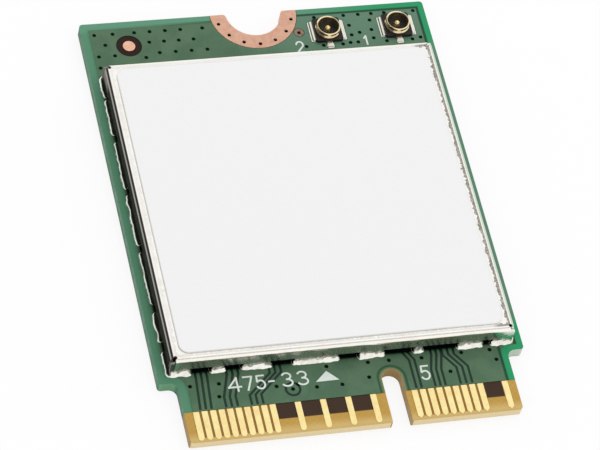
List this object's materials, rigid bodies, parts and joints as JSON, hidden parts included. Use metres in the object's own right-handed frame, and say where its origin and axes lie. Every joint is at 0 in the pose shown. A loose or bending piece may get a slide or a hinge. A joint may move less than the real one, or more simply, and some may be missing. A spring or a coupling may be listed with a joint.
{
  "type": "ngff wifi card",
  "caption": "Short plug-in radio card with a keyed edge connector, a soldered shield can, push-on antenna jacks and a half round fixing notch.",
  "frame": {"origin": "middle of the board's outline, on the plane of the underside", "axes": "+Y from the contact edge to the fixing notch, +X across the card towards the antenna jacks' side, +Z out of the component face"},
  "size_m": [0.022, 0.03, 0.0023],
  "materials": {
    "laminate": "woven glass and resin, matt",
    "lacquer": "green lacquer over copper, semi gloss",
    "bare_copper": "bare copper, satin",
    "gold": "gold plate, satin",
    "can_sheet": "tinned sheet, bright",
    "label": "pale film, matt",
    "solder": "bright solder",
    "black_plastic": "black moulding",
    "ceramic": "fired ceramic"
  },
  "bodies": {
    "root": {"laminate_core": "laminate", "lacquer_top": "lacquer", "lacquer_bottom": "lacquer", "fixing_pad": "bare_copper", "contacts_top": "gold", "contacts_bottom": "gold", "alignment_mark": "bare_copper", "test_ring": "bare_copper", "shield_can": "can_sheet", "can_label": "label", "can_solder": "solder", "jack_1_seat": "black_plastic", "jack_1_shell": "gold", "jack_1_pin": "gold", "jack_2_seat": "black_plastic", "jack_2_shell": "gold", "jack_2_pin": "gold", "jack_solder": "solder", "radio_chip": "black_plastic", "radio_chip_leads": "solder", "front_end_modules": "black_plastic", "antenna_filters": "ceramic", "crystal_case": "ceramic", "crystal_cap": "can_sheet", "memory_chip": "black_plastic", "memory_chip_leads": "solder", "power_coil": "ceramic", "power_coil_ends": "solder", "capacitor_bodies": "ceramic", "capacitor_ends": "solder", "resistor_bodies": "black_plastic", "resistor_ends": "solder"}
  },
  "joints": []
}
